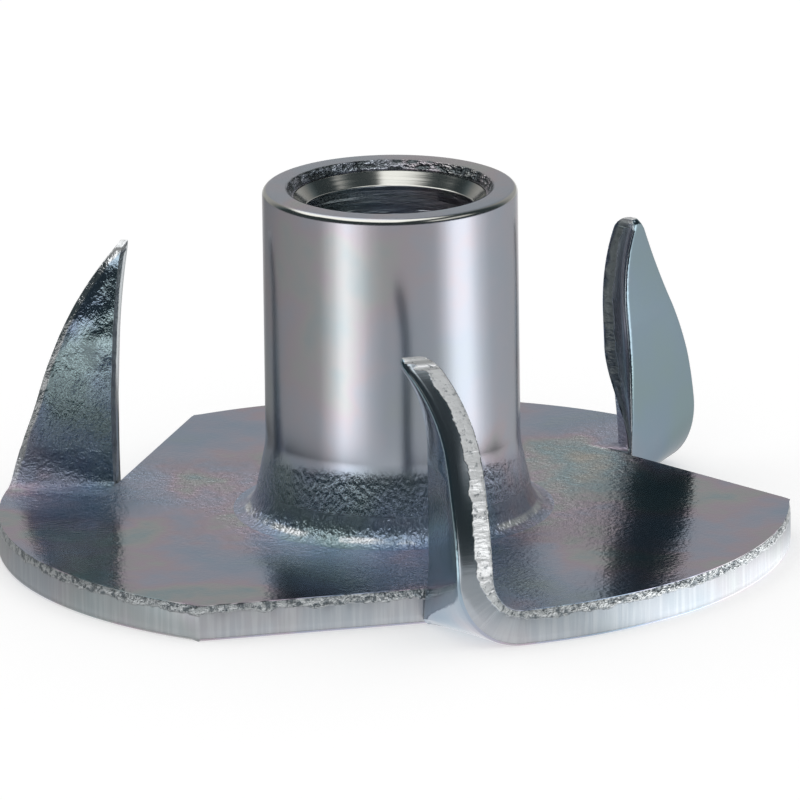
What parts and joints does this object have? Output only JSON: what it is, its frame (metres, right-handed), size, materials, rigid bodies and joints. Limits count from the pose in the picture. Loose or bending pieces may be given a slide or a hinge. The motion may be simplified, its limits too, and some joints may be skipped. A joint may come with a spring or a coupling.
{
  "type": "three-prong tee nut",
  "caption": "Stamped steel tee nut: round flange with straight-sided notches, prongs bent up from it, and a drawn, threaded barrel with a countersunk mouth.",
  "frame": {"origin": "centre of the bore, in the plane of the flange's underside", "axes": "+Z along the bore axis towards the barrel's mouth; the inner edge of one prong stands in the XZ plane, towards +X"},
  "size_m": [0.019, 0.0188, 0.0088],
  "materials": {
    "zinc_plate": "bright zinc plate with a thin blue, pink and green passivation film, dull and bright bands on the sheared edges"
  },
  "bodies": {
    "root": {"tee_nut": "zinc_plate"}
  },
  "joints": []
}
